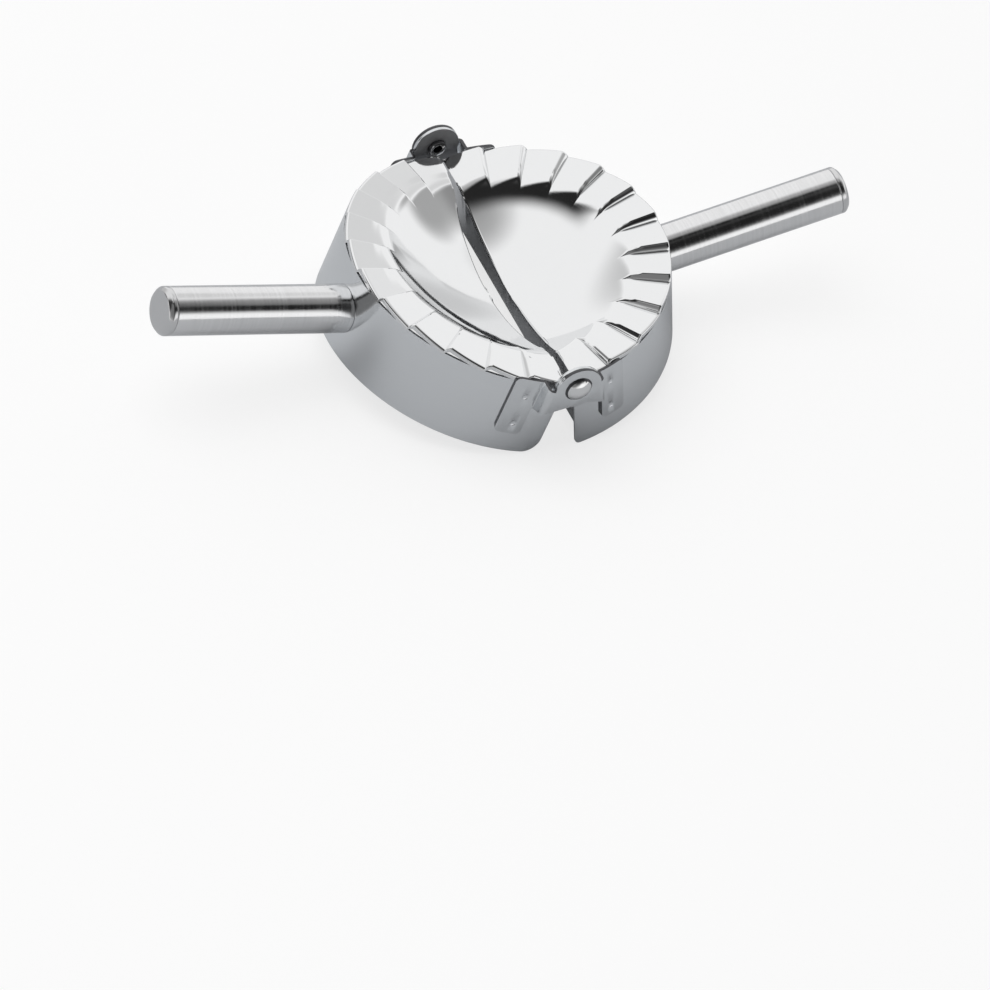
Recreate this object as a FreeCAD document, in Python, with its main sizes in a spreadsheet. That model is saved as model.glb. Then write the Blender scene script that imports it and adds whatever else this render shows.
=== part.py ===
import FreeCAD, Part
import math
import os
import re
import Sketcher

# Folding press for half-moon filled pastries, made of polished stamped steel.
#
# Two identical halves turn on two rivets. Each half is a pleated half bowl with
# a turned-down wall along the parting line, a half-round skirt that also cuts
# the dough, two hinge leaves and a hollow handle. Opened flat, the halves make
# a round dish. Folded shut, the pleats of both halves mesh with a gap for two
# layers of dough.
#
# Every half is drawn lying flat: the mean rim plane is Z 0, the parting line is
# the Y axis, the hinge axis is parallel to Y, and the handle points along +X.
# At rest both halves are raised alike, so that the press stands as a shallow V
# on the inner corners of its skirts.

doc = FreeCAD.newDocument("PastryPress")

# Driving sizes in millimetres and degrees, with what each one sets.
SIZES = {
    "rim_radius": (47.5, "outer radius of the pleated rim and of the skirt"),
    "sheet_wall": (0.8, "thickness of the stamped bowl and skirt"),
    "parting_gap": (0.4, "from the middle plane to each half when open flat"),
    "fold_half_angle": (12.0, "how far each half is raised at rest"),
    "hinge_rise": (1.4, "hinge axis above the mean rim plane"),
    "pleats_round": (24, "pleat facets in the whole round"),
    "pleat_rise": (1.9, "height of a pleat's step at the rim"),
    "pleat_run": (1.6, "how far a step leans over its height at the rim"),
    "pleat_root_radius": (29.0, "where a pleat facet starts, under the bowl"),
    "bowl_mouth_radius": (35.5, "radius of the bowl in the rim plane"),
    "bowl_depth": (10.3, "depth of the bowl at its middle"),
    "lip_radius": (6.0, "rounding from the bowl into the pleats"),
    "web_depth": (18.5, "bottom of the turned-down wall below the rim plane"),
    "web_side_gap": (0.1, "from the turned-down wall to the inside of the skirt"),
    "skirt_depth": (27.4, "bottom of the skirt below the rim plane"),
    "skirt_corner": (1.5, "rounding of the skirt's bottom corner beside an inner ear"),
    "skirt_far_corner": (5.0, "rounding of the skirt's bottom corner beside an outer ear"),
    "seat_gap": (0.03, "clearance between pieces that are welded or pressed"),
    "leaf_wall": (1.0, "thickness of a hinge leaf"),
    "leaf_wide": (8.6, "width of a leaf's plate"),
    "leaf_depth": (20.2, "bottom of a leaf's plate below the rim plane"),
    "leaf_arm_depth": (9.4, "lower edge of a leaf's arm at its bend, below the rim plane"),
    "leaf_corner": (1.6, "rounding of the plate's corners"),
    "leaf_bend": (0.5, "inner radius of a leaf's bends"),
    "ear_radius": (7.0, "round end of a leaf about the rivet"),
    "ear_side_gap": (0.1, "from a round ear to the bend of the other leaf"),
    "ear_gap": (0.05, "running gap between the two ears of a hinge"),
    "weld_radius": (1.15, "radius of a spot weld's dimple"),
    "weld_dip": (0.2, "depth of a spot weld's dimple"),
    "weld_high": (6.2, "upper spot weld below a leaf's upper edge"),
    "weld_low": (4.0, "lower spot weld above a leaf's lower edge"),
    "rivet_radius": (2.0, "shank of a hinge rivet"),
    "rivet_gap": (0.05, "running clearance round the shank in the turning ear"),
    "rivet_head_radius": (4.1, "radius of the domed head"),
    "rivet_head_rise": (2.0, "height of the domed head"),
    "rivet_tail_radius": (2.8, "outer radius of the rolled tail"),
    "rivet_tail_rise": (1.0, "height of the rolled tail"),
    "rivet_tail_bevel": (0.6, "bevel of the rolled tail"),
    "rivet_tail_clear": (1.65, "from the rim to the rolled tail"),
    "rivet_tail_bore": (1.3, "radius of the hollow in the tail"),
    "rivet_tail_hollow": (2.2, "depth of the hollow in the tail"),
    "handle_depth": (15.0, "handle axis below the rim plane"),
    "handle_radius": (7.0, "outer radius of the handle tube"),
    "handle_wall": (0.8, "wall of the handle tube"),
    "neck_length": (1.2, "plain neck of the tube between the skirt and the grip"),
    "neck_step": (0.25, "how much thinner the neck is than the grip"),
    "handle_end": (103.5, "from the middle plane to the end of the tube"),
    "cap_rise": (2.5, "how far the end cap stands out of the tube"),
    "cap_rounding": (1.5, "rounding of the end cap's edge"),
    "cap_skirt": (6.0, "how far the end cap reaches into the tube"),
    "cap_wall": (0.8, "wall of the end cap"),
    "plug_length": (12.0, "length of the threaded plug inside the tube"),
    "screw_radius": (2.0, "radius of the handle screw"),
    "screw_hole_gap": (0.25, "clearance of the screw in the skirt's hole"),
    "screw_length": (9.0, "how far the screw reaches past the skirt"),
    "screw_head_radius": (3.8, "radius of the screw's head"),
    "screw_head_rise": (2.4, "height of the screw's head"),
    "screw_head_bevel": (1.1, "bevel of the screw's head"),
    "screw_cross": (4.2, "span of the cross recess in the head"),
    "screw_cross_wide": (0.9, "width of each arm of the cross recess"),
    "screw_cross_deep": (1.3, "depth of the cross recess"),
    "washer_radius": (4.6, "outer radius of the washer"),
    "washer_wall": (0.8, "thickness of the washer"),
    "overrun": (3.0, "how far a cutting shape passes what it cuts"),
    "pick_reach": (0.05, "how near an edge's middle lies to the place that picks it"),
}

sheet = doc.addObject("Spreadsheet::Sheet", "Sizes")
for row, (name, (number, note)) in enumerate(SIZES.items(), start=1):
    sheet.set("A%d" % row, name.replace("_", " "))
    sheet.set("B%d" % row, str(number))
    sheet.set("C%d" % row, note)
    sheet.setAlias("B%d" % row, name)
doc.recompute()

# Worked-out sizes, written once as formulas on the sheet's names.
SKIRT_INSIDE = "(rim_radius - sheet_wall)"
SPHERE_RADIUS = "((bowl_mouth_radius^2 + bowl_depth^2) / (2 * bowl_depth))"
RAMP_HALF = "(pleat_run / 2 / rim_radius * 180 / pi)"
FACET_HALF = "(180 / pleats_round - %s)" % RAMP_HALF
FACET_TILT = "atan(pleat_rise / 2 / (rim_radius * tan(%s)))" % FACET_HALF
RAMP_TILT = "atan(pleat_rise / pleat_run)"
SHEET_DROP = "(sheet_wall / cos(%s))" % FACET_TILT
SKIRT_TOP = "(pleat_rise / 2 + %s + seat_gap)" % SHEET_DROP
INNER_EAR = "(rim_radius + rivet_tail_clear + rivet_tail_rise + ear_gap)"
OUTER_EAR = "(%s + leaf_wall + ear_gap)" % INNER_EAR
LEAF_SEAT = "(rim_radius + seat_gap)"
LEAF_START = "(ear_radius + ear_side_gap + leaf_bend)"
LEAF_END = "(%s + leaf_wide)" % LEAF_START
TUBE_INSIDE = "(handle_radius - handle_wall)"


def bound(text):
    """Puts the sheet's name before each of its cells in a formula."""
    return re.sub(r"[a-z][a-z_]+", lambda word: "Sizes." + word.group()
                  if word.group() in SIZES else word.group(), text)


def size(text):
    """The number that a formula on the sheet gives now."""
    found = sheet.evalExpression(bound(text))
    return float(getattr(found, "Value", found))


def tie(thing, **formulas):
    """Binds properties of an object to formulas on the sheet."""
    for name, text in formulas.items():
        thing.setExpression(name.replace("__", "."), bound(text))
    return thing


# Part primitives and booleans

def box(name, low, high):
    """A box between two corners, each given as three formulas."""
    block = doc.addObject("Part::Box", name)
    for side, axis, start, end in zip(("Length", "Width", "Height"), "xyz", low, high):
        block.setExpression(side, bound("(%s) - (%s)" % (end, start)))
        block.setExpression("Placement.Base." + axis, bound(start))
    return block


def rod(name, radius, length, start, along="z"):
    """A cylinder along an axis, from a start given as three formulas."""
    piece = doc.addObject("Part::Cylinder", name)
    turns = {"x": (0, 1, 0), "z": (0, 0, 1)}
    angle = 90 if along == "x" else 0
    piece.Placement = FreeCAD.Placement(
        FreeCAD.Vector(), FreeCAD.Rotation(FreeCAD.Vector(*turns[along]), angle))
    tie(piece, Radius=radius, Height=length, Placement__Base__x=start[0],
        Placement__Base__y=start[1], Placement__Base__z=start[2])
    return piece


def cut(name, base, *tools):
    """What is left of a shape after the tools are taken away in turn."""
    for index, tool in enumerate(tools):
        step = doc.addObject("Part::Cut", "%s_%d" % (name, index))
        step.Base = base
        step.Tool = tool
        base = step
    return base


def shared(name, first, second):
    """What two shapes have in common."""
    piece = doc.addObject("Part::MultiCommon", name)
    piece.Shapes = [first, second]
    return piece


def joined(name, *shapes):
    """Several shapes made one."""
    piece = doc.addObject("Part::MultiFuse", name)
    piece.Shapes = list(shapes)
    piece.Refine = True
    return piece


# Bodies with sketches

def sketch_on(body, name, plane):
    """An empty sketch on one of the body's own origin planes."""
    drawing = body.newObject("Sketcher::SketchObject", name)
    origin_plane = next(item for item in body.Origin.OriginFeatures if item.Role == plane)
    drawing.AttachmentSupport = (origin_plane, [""])
    drawing.MapMode = "FlatFace"
    return drawing


def pin_point(drawing, curve, end, across, up):
    """Holds one end of a curve at a place given by two formulas."""
    for kind, axis, text in (("DistanceX", -2, across), ("DistanceY", -1, up)):
        if abs(size(text)) < 1e-9:
            drawing.addConstraint(Sketcher.Constraint("PointOnObject", curve, end, axis))
        else:
            index = drawing.addConstraint(
                Sketcher.Constraint(kind, -1, 1, curve, end, size(text)))
            drawing.setExpression("Constraints[%d]" % index, bound(text))


def outline(drawing, corners):
    """A closed outline with straight sides; each corner is two formulas."""
    points = [FreeCAD.Vector(size(across), size(up), 0) for across, up in corners]
    first = drawing.GeometryCount
    count = len(points)
    for index in range(count):
        drawing.addGeometry(Part.LineSegment(points[index], points[(index + 1) % count]), False)
    for index in range(count):
        after = (index + 1) % count
        drawing.addConstraint(
            Sketcher.Constraint("Coincident", first + index, 2, first + after, 1))
    for index, (across, up) in enumerate(corners):
        pin_point(drawing, first + index, 1, across, up)


def ring(drawing, radius, across="0", up="0"):
    """A circle with its centre at a place given by two formulas."""
    centre = FreeCAD.Vector(size(across), size(up), 0)
    curve = drawing.addGeometry(
        Part.Circle(centre, FreeCAD.Vector(0, 0, 1), size(radius)), False)
    index = drawing.addConstraint(Sketcher.Constraint("Radius", curve, size(radius)))
    drawing.setExpression("Constraints[%d]" % index, bound(radius))
    pin_point(drawing, curve, 3, across, up)


def new_body(name):
    return doc.addObject("PartDesign::Body", name)


def pad(body, drawing, length, midplane=False, backwards=False):
    """Raises a sketch into a solid."""
    feature = body.newObject("PartDesign::Pad", drawing.Name + "Pad")
    feature.Profile = drawing
    feature.SideType = "Symmetric" if midplane else "One side"
    feature.Reversed = backwards
    tie(feature, Length=length)
    drawing.Visibility = False
    doc.recompute()
    return feature


def pocket(body, drawing, length):
    """Cuts a sketch both ways through the body."""
    feature = body.newObject("PartDesign::Pocket", drawing.Name + "Pocket")
    feature.Profile = drawing
    feature.SideType = "Symmetric"
    tie(feature, Length=length)
    doc.recompute()
    return feature


def round_edges(body, radius, chosen):
    """Rounds the edges of the body's last feature that a test picks."""
    doc.recompute()
    last = body.Tip
    names = ["Edge%d" % number for number, edge in enumerate(last.Shape.Edges, start=1)
             if chosen(edge)]
    feature = body.newObject("PartDesign::Fillet", body.Name + "Fillet")
    feature.Base = (last, names)
    tie(feature, Radius=radius)
    doc.recompute()
    return feature


def bevel_edges(body, width, chosen):
    """Bevels the edges of the body's last feature that a test picks."""
    doc.recompute()
    last = body.Tip
    names = ["Edge%d" % number for number, edge in enumerate(last.Shape.Edges, start=1)
             if chosen(edge)]
    feature = body.newObject("PartDesign::Chamfer", body.Name + "Chamfer")
    feature.Base = (last, names)
    tie(feature, Size=width)
    doc.recompute()
    return feature


def turned(body, drawing):
    """Turns a sketch a full round about its own upright axis."""
    feature = body.newObject("PartDesign::Revolution", drawing.Name + "Turn")
    feature.Profile = drawing
    feature.ReferenceAxis = (drawing, ["V_Axis"])
    feature.Angle = 360
    doc.recompute()
    return feature


def near(edge, x=None, y=None, z=None):
    """True where the middle of an edge's box has the coordinates asked for."""
    middle = edge.BoundBox.Center
    reach = size("pick_reach")
    asked = ((x, middle.x), (y, middle.y), (z, middle.z))
    return all(want is None or abs(want - got) < reach for want, got in asked)


# The bowl half

def slab(body, name, half_angle, tilt, turn):
    """A thick radial strip with a flat tilted top, as wide as a pair of half angles.

    Its top plane holds the body's origin, so neighbouring strips meet edge to edge.
    """
    drawing = sketch_on(body, name, "XY_Plane")
    drawing.AttachmentOffset = FreeCAD.Placement(
        FreeCAD.Vector(), FreeCAD.Rotation(FreeCAD.Vector(0, 0, 1), size(turn))
        * FreeCAD.Rotation(FreeCAD.Vector(1, 0, 0), size(tilt)))
    inner = "pleat_root_radius"
    outer = "(rim_radius + overrun)"
    inner_side = "%s * tan(%s) / cos(%s)" % (inner, half_angle, tilt)
    outer_side = "%s * tan(%s) / cos(%s)" % (outer, half_angle, tilt)
    outline(drawing, [(inner, "-" + inner_side), (outer, "-" + outer_side),
                      (outer, outer_side), (inner, inner_side)])
    feature = body.newObject("PartDesign::Pad", name + "Pad")
    feature.Profile = drawing
    feature.UseCustomVector = True
    feature.Direction = FreeCAD.Vector(0, 0, -1)
    feature.AlongSketchNormal = False
    tie(feature, Length="web_depth + overrun")
    doc.recompute()
    return feature


def pleat_block(name):
    """A solid disc whose top has the pleats: long facets that rise, and steep steps."""
    body = new_body(name)
    core = sketch_on(body, name + "Core", "XY_Plane")
    ring(core, "pleat_root_radius + overrun / 2")
    core.AttachmentOffset = FreeCAD.Placement()
    tie(core, AttachmentOffset__Base__z="-pleat_rise")
    pad(body, core, "web_depth + overrun", backwards=True)

    facet = slab(body, name + "Facet", FACET_HALF, "-1 * " + FACET_TILT, "0")
    ramp = slab(body, name + "Ramp", RAMP_HALF, RAMP_TILT, "-(%s + %s)" % (FACET_HALF, RAMP_HALF))
    pattern = body.newObject("PartDesign::PolarPattern", name + "Pleats")
    pattern.Originals = [facet, ramp]
    pattern.Axis = (core, ["N_Axis"])
    pattern.Angle = 360
    tie(pattern, Occurrences="pleats_round")
    body.Tip = pattern
    # The parting line runs through the middle of a step, so that folded halves mesh.
    body.Placement.Rotation = FreeCAD.Rotation(
        FreeCAD.Vector(0, 0, 1), size("180 / pleats_round"))
    doc.recompute()
    return body


def bowl_cutter(name, inset):
    """The hollow of the bowl, grown by an inset, with its rounded lip."""
    body = new_body(name)
    drawing = sketch_on(body, name + "Profile", "XZ_Plane")
    radius = "(%s + %s)" % (SPHERE_RADIUS, inset)
    middle_up = "(%s - bowl_depth)" % SPHERE_RADIUS
    lip = "(lip_radius - %s)" % inset
    lip_up = "(pleat_rise / 2 - lip_radius)"
    lip_out = "sqrt((%s + lip_radius)^2 - (%s - %s)^2)" % (SPHERE_RADIUS, middle_up, lip_up)
    top = "(pleat_rise + overrun)"

    centre = FreeCAD.Vector(0, size(middle_up), 0)
    lip_centre = FreeCAD.Vector(size(lip_out), size(lip_up), 0)
    up = FreeCAD.Vector(0, 0, 1)
    towards = math.atan2(lip_centre.y - centre.y, lip_centre.x)
    meet = centre + FreeCAD.Vector(math.cos(towards), math.sin(towards), 0) * size(radius)
    lip_top = lip_centre + FreeCAD.Vector(0, size(lip), 0)
    bottom = centre - FreeCAD.Vector(0, size(radius), 0)
    high = size(top)
    drawing.addGeometry([
        Part.ArcOfCircle(Part.Circle(centre, up, size(radius)), -math.pi / 2, towards),
        Part.ArcOfCircle(Part.Circle(lip_centre, up, size(lip)), math.pi / 2, towards + math.pi),
        Part.LineSegment(lip_top, FreeCAD.Vector(lip_top.x, high, 0)),
        Part.LineSegment(FreeCAD.Vector(lip_top.x, high, 0), FreeCAD.Vector(0, high, 0)),
        Part.LineSegment(FreeCAD.Vector(0, high, 0), bottom)], False)
    make = Sketcher.Constraint
    drawing.addConstraint([
        make("Coincident", 2, 2, 3, 1), make("Coincident", 3, 2, 4, 1),
        make("Coincident", 4, 2, 0, 1), make("Coincident", 1, 1, 2, 1),
        make("Tangent", 0, 2, 1, 2), make("PointOnObject", 0, 1, -2),
        make("PointOnObject", 3, 2, -2), make("Vertical", 2),
        make("Vertical", 1, 3, 1, 1)])
    for curve, text in ((0, radius), (1, lip)):
        index = drawing.addConstraint(make("Radius", curve, size(text)))
        drawing.setExpression("Constraints[%d]" % index, bound(text))
    pin_point(drawing, 0, 3, "0", middle_up)
    for curve, end, text in ((1, 3, lip_up), (2, 2, top)):
        index = drawing.addConstraint(make("DistanceY", -1, 1, curve, end, size(text)))
        drawing.setExpression("Constraints[%d]" % index, bound(text))
    turned(body, drawing)
    # The seam of the turned hollow lies in the half of the disc that is cut away.
    body.Placement.Rotation = FreeCAD.Rotation(FreeCAD.Vector(0, 0, 1), 180)
    return body


def bowl_half(name):
    """Pleated half bowl with its wall turned down along the parting line."""
    block = pleat_block(name + "Block")
    upper = cut(name + "Upper", block, bowl_cutter(name + "Hollow", "0"))
    lowered = doc.addObject("Part::Compound", name + "LowBlock")
    lowered.Links = [block]
    tie(lowered, Placement__Base__z="-" + SHEET_DROP)
    under = cut(name + "Under", lowered, bowl_cutter(name + "UnderHollow", "sheet_wall"))
    disc = rod(name + "Disc", "rim_radius", "web_depth + pleat_rise + 2 * overrun",
               ("0", "0", "-web_depth"))
    far = "rim_radius + overrun"
    side = box(name + "Side", ("parting_gap", "-(%s)" % far, "-web_depth - overrun"),
               (far, far, "pleat_rise + 2 * overrun"))
    half = shared(name + "HalfDisc", disc, side)
    body = shared(name + "Solid", upper, half)
    shell = cut(name + "Shell", body, under)
    web_end = "(%s - web_side_gap)" % SKIRT_INSIDE
    strip = box(name + "Strip", ("parting_gap", "-" + web_end, "-web_depth"),
                ("parting_gap + sheet_wall", web_end, "pleat_rise"))
    web = shared(name + "Web", body, strip)
    return joined(name + "Whole", shell, web)


# The skirt half

def skirt_half(name):
    """Half-round skirt with a hole for the handle's screw."""
    body = new_body(name)
    wall = sketch_on(body, name + "Wall", "XY_Plane")
    ring(wall, "rim_radius")
    ring(wall, SKIRT_INSIDE)
    wall.AttachmentOffset = FreeCAD.Placement()
    tie(wall, AttachmentOffset__Base__z="-skirt_depth")
    pad(body, wall, "skirt_depth - %s" % SKIRT_TOP)
    away = sketch_on(body, name + "Away", "XY_Plane")
    far = "(rim_radius + overrun)"
    outline(away, [("parting_gap", "-" + far), ("parting_gap", far),
                   ("-" + far, far), ("-" + far, "-" + far)])
    pocket(body, away, "2 * skirt_depth + overrun")
    hole = sketch_on(body, name + "Hole", "YZ_Plane")
    ring(hole, "screw_radius + screw_hole_gap", "0", "-handle_depth")
    pocket(body, hole, "2 * %s" % far)
    gap = size("parting_gap")
    low = -size("skirt_depth")
    for radius, side in (("skirt_corner", -1), ("skirt_far_corner", 1)):
        round_edges(body, radius, lambda edge: near(edge, x=gap, z=low)
                    and edge.BoundBox.Center.y * side > 0)
    return body


# The hinge leaves

def dimple(name, side, depth):
    """A ball that dents the middle of a leaf's plate where it is spot welded."""
    ball = doc.addObject("Part::Sphere", name)
    reach = "(%s + leaf_wide / 2)" % LEAF_START
    curve = "((weld_radius^2 + weld_dip^2) / (2 * weld_dip))"
    face = "(%s + leaf_wall)" % LEAF_SEAT
    out = "(%s + %s - weld_dip) / %s" % (face, curve, face)
    tie(ball, Radius=curve, Placement__Base__x="%s * %s" % (reach, out),
        Placement__Base__y="%d * sqrt(%s^2 - %s^2) * %s" % (side, face, reach, out),
        Placement__Base__z=depth)
    return ball


def leaf(name, side, reach):
    """Hinge leaf: a plate welded to the skirt, bent out to a round ear."""
    inner = "%d * %s" % (side, reach)
    outer = "%d * (%s + leaf_wall)" % (side, reach)
    bend_out = "(%s + leaf_wall)" % LEAF_START
    foot = "%d * sqrt((rim_radius + leaf_wall / 2)^2 - %s^2)" % (side, bend_out)
    strip = new_body(name + "Strip")
    top = sketch_on(strip, name + "Top", "XY_Plane")
    corners = [("-ear_radius", inner), ("-ear_radius", outer), (bend_out, outer),
               (bend_out, foot), (LEAF_START, foot), (LEAF_START, inner)]
    outline(top, corners)
    top.AttachmentOffset = FreeCAD.Placement()
    tie(top, AttachmentOffset__Base__z="-leaf_arm_depth")
    pad(strip, top, "leaf_arm_depth + ear_radius + hinge_rise")
    corner_x, corner_y = size(bend_out), size(outer)
    round_edges(strip, "leaf_bend + leaf_wall", lambda edge: near(edge, x=corner_x, y=corner_y))
    bend_x, bend_y = size(LEAF_START), size(inner)
    round_edges(strip, "leaf_bend", lambda edge: near(edge, x=bend_x, y=bend_y))

    height = "leaf_depth + 2 * overrun"
    seat = rod(name + "Seat", LEAF_SEAT, height, ("0", "0", "-leaf_depth - overrun"))
    shell = rod(name + "Shell", "(%s + leaf_wall)" % LEAF_SEAT, height,
                ("0", "0", "-leaf_depth - overrun"))
    far = "(rim_radius + 2 * overrun)"
    low_y, high_y = ("0", far) if side > 0 else ("-" + far, "0")
    reach_x = "(%s + overrun)" % LEAF_END
    beside = box(name + "Beside", (LEAF_START, low_y, "-leaf_depth - overrun"),
                 (reach_x, high_y, "overrun"))
    plate = shared(name + "Plate", cut(name + "Ring", shell, seat), beside)
    flat = joined(name + "Flat", plate, strip)

    view = new_body(name + "View")
    face = sketch_on(view, name + "Face", "XZ_Plane")
    outline(face, [("0", "0"), (LEAF_END, "0"), (LEAF_END, "-leaf_depth"),
                   (LEAF_START, "-leaf_depth"), (LEAF_START, "-leaf_arm_depth"),
                   ("0", "hinge_rise - ear_radius")])
    depth = "2 * (%s + overrun)" % OUTER_EAR
    pad(view, face, depth, midplane=True)
    rim, low = 0, -size("leaf_depth")
    far_x, near_x = size(LEAF_END), size(LEAF_START)
    round_edges(view, "leaf_corner", lambda edge: near(edge, x=far_x, z=rim)
                or near(edge, x=far_x, z=low) or near(edge, x=near_x, z=low))
    eye = sketch_on(view, name + "Eye", "XZ_Plane")
    ring(eye, "ear_radius", "0", "hinge_rise")
    pad(view, eye, depth, midplane=True)
    bore = sketch_on(view, name + "Bore", "XZ_Plane")
    own = "rivet_radius + seat_gap" if reach == OUTER_EAR else "rivet_radius + rivet_gap"
    ring(bore, own, "0", "hinge_rise")
    pocket(view, bore, depth)

    blank = shared(name + "Blank", flat, view)
    return cut(name + "Welded", blank, dimple(name + "High", side, "-weld_high"),
               dimple(name + "Low", side, "weld_low - leaf_depth"))


# Rivets

def rivet(name):
    """Domed rivet with a rolled hollow tail, drawn upright with its head up.

    Z 0 is the outer face of the outer ear, and the tail seats under the inner ear.
    """
    body = new_body(name)
    grip = "(2 * leaf_wall + 2 * ear_gap)"
    dome = "((rivet_head_radius^2 + rivet_head_rise^2) / (2 * rivet_head_rise))"
    drawing = sketch_on(body, name + "Profile", "XZ_Plane")
    base = "seat_gap"
    top = "(rivet_head_rise + seat_gap)"
    tail = "(%s + rivet_tail_rise)" % grip
    corners = [
        ("rivet_head_radius", base), ("rivet_radius", base), ("rivet_radius", "-" + grip),
        ("rivet_tail_radius", "-" + grip), ("rivet_tail_radius", "-" + tail),
        ("rivet_tail_bore", "-" + tail),
        ("rivet_tail_bore", "-(%s - rivet_tail_hollow)" % tail),
        ("0", "-(%s - rivet_tail_hollow)" % tail), ("0", top)]
    points = [FreeCAD.Vector(size(across), size(up), 0) for across, up in corners]
    for start, end in zip(points, points[1:]):
        drawing.addGeometry(Part.LineSegment(start, end), False)
    centre = FreeCAD.Vector(0, size(top + " - " + dome), 0)
    start = math.atan2(points[0].y - centre.y, points[0].x)
    drawing.addGeometry(Part.ArcOfCircle(
        Part.Circle(centre, FreeCAD.Vector(0, 0, 1), size(dome)), start, math.pi / 2), False)
    last = len(corners) - 1
    for index in range(last - 1):
        drawing.addConstraint(Sketcher.Constraint("Coincident", index, 2, index + 1, 1))
    drawing.addConstraint(Sketcher.Constraint("Coincident", last - 1, 2, last, 2))
    drawing.addConstraint(Sketcher.Constraint("Coincident", last, 1, 0, 1))
    for index, (across, up) in enumerate(corners[:-1]):
        pin_point(drawing, index, 1, across, up)
    pin_point(drawing, last - 1, 2, *corners[-1])
    drawing.addConstraint(Sketcher.Constraint("PointOnObject", last, 3, -2))
    turned(body, drawing)
    rolled = -size(tail)
    rim = size("rivet_tail_radius")
    bevel_edges(body, "rivet_tail_bevel",
                lambda edge: near(edge, x=0, y=0, z=rolled)
                and edge.BoundBox.XMax > rim - size("pick_reach"))
    return body


# The handle

def skirt_core(name, radius):
    """The round column inside the handle's seat, which shapes its inner end."""
    return rod(name, radius, "2 * skirt_depth", ("0", "0", "-2 * skirt_depth"))


def handle_tube(name):
    """Hollow handle tube whose inner end is cut to sit on the round skirt."""
    start = ("rim_radius / 2", "0", "-handle_depth")
    neck_end = "(%s + neck_length)" % LEAF_SEAT
    neck = rod(name + "Neck", "handle_radius - neck_step", neck_end + " - rim_radius / 2",
               start, along="x")
    grip = rod(name + "Grip", "handle_radius", "handle_end - " + neck_end,
               (neck_end, "0", "-handle_depth"), along="x")
    outside = joined(name + "Outside", neck, grip)
    inside = rod(name + "Inside", TUBE_INSIDE, "handle_end - rim_radius / 2 + overrun",
                 start, along="x")
    return cut(name + "Tube", outside, inside, skirt_core(name + "Core", LEAF_SEAT))


def handle_plug(name):
    """Threaded plug pressed into the inner end of the tube."""
    start = ("rim_radius / 2", "0", "-handle_depth")
    outside = rod(name + "Outside", TUBE_INSIDE + " - seat_gap",
                  "rim_radius / 2 + plug_length", start, along="x")
    bore = rod(name + "Bore", "screw_radius + seat_gap",
               "rim_radius / 2 + screw_length + seat_gap", start, along="x")
    return cut(name + "Plug", outside, bore, skirt_core(name + "Core", LEAF_SEAT))


def handle_cap(name):
    """Stamped end cap with a rounded edge, its skirt inside the tube."""
    body = new_body(name)
    drawing = sketch_on(body, name + "Profile", "XZ_Plane")
    held = "(%s - seat_gap)" % TUBE_INSIDE
    outline(drawing, [
        ("0", "cap_rise"), ("handle_radius", "cap_rise"), ("handle_radius", "seat_gap"),
        (held, "seat_gap"), (held, "-cap_skirt"), (held + " - cap_wall", "-cap_skirt"),
        (held + " - cap_wall", "cap_rise - cap_wall"), ("0", "cap_rise - cap_wall")])
    turned(body, drawing)
    face = size("cap_rise")
    edge_size = size("handle_radius")
    round_edges(body, "cap_rounding",
                lambda edge: near(edge, x=0, z=face)
                and edge.BoundBox.XMax > edge_size - size("pick_reach"))
    return body


def washer_seat():
    """Where the washer's flat face meets the round inside of the skirt."""
    return "(sqrt(%s^2 - washer_radius^2) - seat_gap)" % SKIRT_INSIDE


def washer(name):
    """Flat washer between the screw's head and the skirt."""
    body = new_body(name)
    drawing = sketch_on(body, name + "Profile", "XY_Plane")
    ring(drawing, "washer_radius")
    ring(drawing, "screw_radius + screw_hole_gap")
    pad(body, drawing, "washer_wall")
    return body


def screw(name):
    """Pan-head screw with a cross recess, drawn along Z with its head at Z 0."""
    body = new_body(name)
    shank = sketch_on(body, name + "Shank", "XY_Plane")
    ring(shank, "screw_radius")
    pad(body, shank, "rim_radius + screw_length - %s + washer_wall + seat_gap" % washer_seat())
    head = sketch_on(body, name + "Head", "XY_Plane")
    ring(head, "screw_head_radius")
    pad(body, head, "screw_head_rise", backwards=True)
    top = -size("screw_head_rise")
    bevel_edges(body, "screw_head_bevel", lambda edge: near(edge, x=0, y=0, z=top))
    for turn, (across, up) in enumerate((("screw_cross", "screw_cross_wide"),
                                         ("screw_cross_wide", "screw_cross"))):
        arm = sketch_on(body, "%sArm%d" % (name, turn), "XY_Plane")
        arm.AttachmentOffset = FreeCAD.Placement()
        tie(arm, AttachmentOffset__Base__z="-screw_head_rise")
        outline(arm, [("-%s / 2" % across, "-%s / 2" % up), ("%s / 2" % across, "-%s / 2" % up),
                      ("%s / 2" % across, "%s / 2" % up), ("-%s / 2" % across, "%s / 2" % up)])
        pocket(body, arm, "2 * screw_cross_deep")
    return body


# Where each half stands

def along_x(text):
    """A piece drawn upright, laid along the handle and set at a place on it."""
    return FreeCAD.Placement(FreeCAD.Vector(size(text), 0, -size("handle_depth")),
                             FreeCAD.Rotation(FreeCAD.Vector(0, 1, 0), 90))


def along_y(side):
    """A rivet drawn upright, laid on the hinge axis with its head outwards."""
    return FreeCAD.Placement(
        FreeCAD.Vector(0, side * size(OUTER_EAR + " + leaf_wall"), size("hinge_rise")),
        FreeCAD.Rotation(FreeCAD.Vector(1, 0, 0), -90 * side))


raise_angle = size("fold_half_angle")
raise_sine = math.sin(math.radians(raise_angle))
raise_cosine = math.cos(math.radians(raise_angle))
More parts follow.
